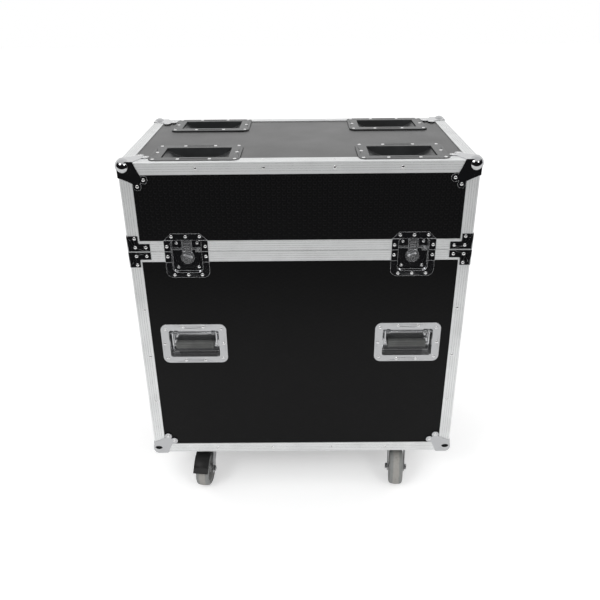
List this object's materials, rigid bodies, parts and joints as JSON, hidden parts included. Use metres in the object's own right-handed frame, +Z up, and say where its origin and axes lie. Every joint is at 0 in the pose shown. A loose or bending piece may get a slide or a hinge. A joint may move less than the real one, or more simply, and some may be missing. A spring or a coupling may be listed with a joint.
{
  "type": "truss base flight case",
  "caption": "Wheeled flight case with a hinged lid, recessed latches and handles, ball corners, caster cups and padded slots for square truss base plates.",
  "frame": {"origin": "middle of the footprint, on the floor under the casters", "axes": "+Z up, +Y to the back where the hinges are, +X to the right seen from the front"},
  "size_m": [0.84, 0.5122, 0.965],
  "materials": {
    "extrusion": "satin, ribbed",
    "plated_steel": "bright plated",
    "dark_steel": "dark plated",
    "rivet_steel": "polished",
    "steel": "zinc plated",
    "laminate": "black laminate on plywood",
    "cup_plastic": "moulded",
    "grip_rubber": "ribbed sleeve",
    "pedal_paint": "black",
    "wheel_core": "moulded",
    "tyre": "grey non-marking",
    "foam": "soft foam",
    "plywood": "plain"
  },
  "bodies": {
    "base": {"base_front_panel": "laminate", "base_back_panel": "laminate", "base_side_panels": "laminate", "base_floor_panel": "laminate", "base_edge_angles": "extrusion", "base_rim_profiles": "extrusion", "base_ball_corners": "plated_steel", "base_rim_braces": "dark_steel", "base_rivets": "rivet_steel", "caster_bolts": "steel", "divider_channels": "extrusion", "plate_dividers": "plywood", "floor_pad": "foam", "hinge_base_leaves": "steel", "handle_dishes": "plated_steel", "latch_base_dishes": "plated_steel", "handle_springs": "plated_steel", "caster_plates": "steel", "caster_bearing_balls": "steel"},
    "lid": {"lid_front_panel": "laminate", "lid_back_panel": "laminate", "lid_side_panels": "laminate", "lid_top_panel": "laminate", "lid_edge_angles": "extrusion", "lid_rim_profiles": "extrusion", "lid_ball_corners": "plated_steel", "lid_rim_braces": "dark_steel", "lid_rivets": "rivet_steel", "caster_cups": "cup_plastic", "lid_pad": "foam", "hinge_lid_leaves": "steel", "latch_lid_dishes": "plated_steel"},
    "handle_front_left": {"handle_loop_front_left": "plated_steel", "handle_grip_front_left": "grip_rubber"},
    "handle_front_right": {"handle_loop_front_right": "plated_steel", "handle_grip_front_right": "grip_rubber"},
    "handle_back_left": {"handle_loop_back_left": "plated_steel", "handle_grip_back_left": "grip_rubber"},
    "handle_back_right": {"handle_loop_back_right": "plated_steel", "handle_grip_back_right": "grip_rubber"},
    "rotor_left": {"latch_rotor_left": "plated_steel"},
    "wing_left": {"latch_wing_left": "plated_steel"},
    "hook_left": {"latch_hook_left": "plated_steel"},
    "rotor_right": {"latch_rotor_right": "plated_steel"},
    "wing_right": {"latch_wing_right": "plated_steel"},
    "hook_right": {"latch_hook_right": "plated_steel"},
    "caster_front_left": {"caster_fork_front_left": "steel"},
    "wheel_front_left": {"caster_wheel_front_left": "wheel_core", "caster_tyre_front_left": "tyre"},
    "pedal_front_left": {"brake_pedal_front_left": "pedal_paint"},
    "caster_front_right": {"caster_fork_front_right": "steel"},
    "wheel_front_right": {"caster_wheel_front_right": "wheel_core", "caster_tyre_front_right": "tyre"},
    "caster_back_left": {"caster_fork_back_left": "steel"},
    "wheel_back_left": {"caster_wheel_back_left": "wheel_core", "caster_tyre_back_left": "tyre"},
    "caster_back_right": {"caster_fork_back_right": "steel"},
    "wheel_back_right": {"caster_wheel_back_right": "wheel_core", "caster_tyre_back_right": "tyre"},
    "pedal_back_right": {"brake_pedal_back_right": "pedal_paint"}
  },
  "joints": [
    {"name": "lid_hinge", "type": "hinge", "parent": "base", "child": "lid", "pos_m": [0, 0.25108, 0.74], "axis": [-1, 0, 0], "range_deg": [0, 100]},
    {"name": "handle_front_left_swing", "type": "hinge", "parent": "base", "child": "handle_front_left", "pos_m": [-0.2745, -0.20842, 0.508], "axis": [-1, 0, 0], "range_deg": [0, 90], "stiffness_Nm_per_rad": 0.12},
    {"name": "handle_front_right_swing", "type": "hinge", "parent": "base", "child": "handle_front_right", "pos_m": [0.2745, -0.20842, 0.508], "axis": [-1, 0, 0], "range_deg": [0, 90], "stiffness_Nm_per_rad": 0.12},
    {"name": "handle_back_left_swing", "type": "hinge", "parent": "base", "child": "handle_back_left", "pos_m": [-0.2745, 0.23658, 0.508], "axis": [1, 0, 0], "range_deg": [0, 90], "stiffness_Nm_per_rad": 0.12},
    {"name": "handle_back_right_swing", "type": "hinge", "parent": "base", "child": "handle_back_right", "pos_m": [0.2745, 0.23658, 0.508], "axis": [1, 0, 0], "range_deg": [0, 90], "stiffness_Nm_per_rad": 0.12},
    {"name": "latch_turn_left", "type": "hinge", "parent": "base", "child": "rotor_left", "pos_m": [-0.273, -0.20892, 0.72], "axis": [0, -1, 0], "range_deg": [0, 180]},
    {"name": "latch_wing_left", "type": "hinge", "parent": "rotor_left", "child": "wing_left", "pos_m": [-0.27061, -0.21772, 0.72658], "axis": [-0.9397, 0, 0.342], "range_deg": [0, 90]},
    {"name": "latch_hook_left", "type": "hinge", "parent": "base", "child": "hook_left", "pos_m": [-0.273, -0.21302, 0.737], "axis": [1, 0, 0], "range_deg": [0, 15]},
    {"name": "latch_turn_right", "type": "hinge", "parent": "base", "child": "rotor_right", "pos_m": [0.273, -0.20892, 0.72], "axis": [0, -1, 0], "range_deg": [0, 180]},
    {"name": "latch_wing_right", "type": "hinge", "parent": "rotor_right", "child": "wing_right", "pos_m": [0.27061, -0.21772, 0.72658], "axis": [-0.9397, 0, -0.342], "range_deg": [0, 90]},
    {"name": "latch_hook_right", "type": "hinge", "parent": "base", "child": "hook_right", "pos_m": [0.273, -0.21302, 0.737], "axis": [1, 0, 0], "range_deg": [0, 15]},
    {"name": "caster_swivel_front_left", "type": "hinge", "parent": "base", "child": "caster_front_left", "pos_m": [-0.276, -0.15642, 0.115], "axis": [0, 0, 1], "continuous": true},
    {"name": "wheel_spin_front_left", "type": "hinge", "parent": "caster_front_left", "child": "wheel_front_left", "pos_m": [-0.28018, -0.1962, 0.05], "axis": [0.9945, -0.1045, 0], "continuous": true},
    {"name": "brake_pedal_front_left", "type": "hinge", "parent": "caster_front_left", "child": "pedal_front_left", "pos_m": [-0.27872, -0.18228, 0.106], "axis": [0.9945, -0.1045, 0], "range_deg": [0, 8]},
    {"name": "caster_swivel_front_right", "type": "hinge", "parent": "base", "child": "caster_front_right", "pos_m": [0.276, -0.15642, 0.115], "axis": [0, 0, 1], "continuous": true},
    {"name": "wheel_spin_front_right", "type": "hinge", "parent": "caster_front_right", "child": "wheel_front_right", "pos_m": [0.27182, -0.1962, 0.05], "axis": [0.9945, -0.1045, 0], "continuous": true},
    {"name": "caster_swivel_back_left", "type": "hinge", "parent": "base", "child": "caster_back_left", "pos_m": [-0.276, 0.18458, 0.115], "axis": [0, 0, 1], "continuous": true},
    {"name": "wheel_spin_back_left", "type": "hinge", "parent": "caster_back_left", "child": "wheel_back_left", "pos_m": [-0.28018, 0.1448, 0.05], "axis": [0.9945, -0.1045, 0], "continuous": true},
    {"name": "caster_swivel_back_right", "type": "hinge", "parent": "base", "child": "caster_back_right", "pos_m": [0.276, 0.18458, 0.115], "axis": [0, 0, 1], "continuous": true},
    {"name": "wheel_spin_back_right", "type": "hinge", "parent": "caster_back_right", "child": "wheel_back_right", "pos_m": [0.27182, 0.1448, 0.05], "axis": [0.9945, -0.1045, 0], "continuous": true},
    {"name": "brake_pedal_back_right", "type": "hinge", "parent": "caster_back_right", "child": "pedal_back_right", "pos_m": [0.27328, 0.15872, 0.106], "axis": [0.9945, -0.1045, 0], "range_deg": [0, 8]}
  ],
  "couplings": [
    {"joint": "latch_hook_left", "follows": "latch_turn_left", "ratio": 0.083333},
    {"joint": "latch_hook_right", "follows": "latch_turn_right", "ratio": 0.083333}
  ]
}
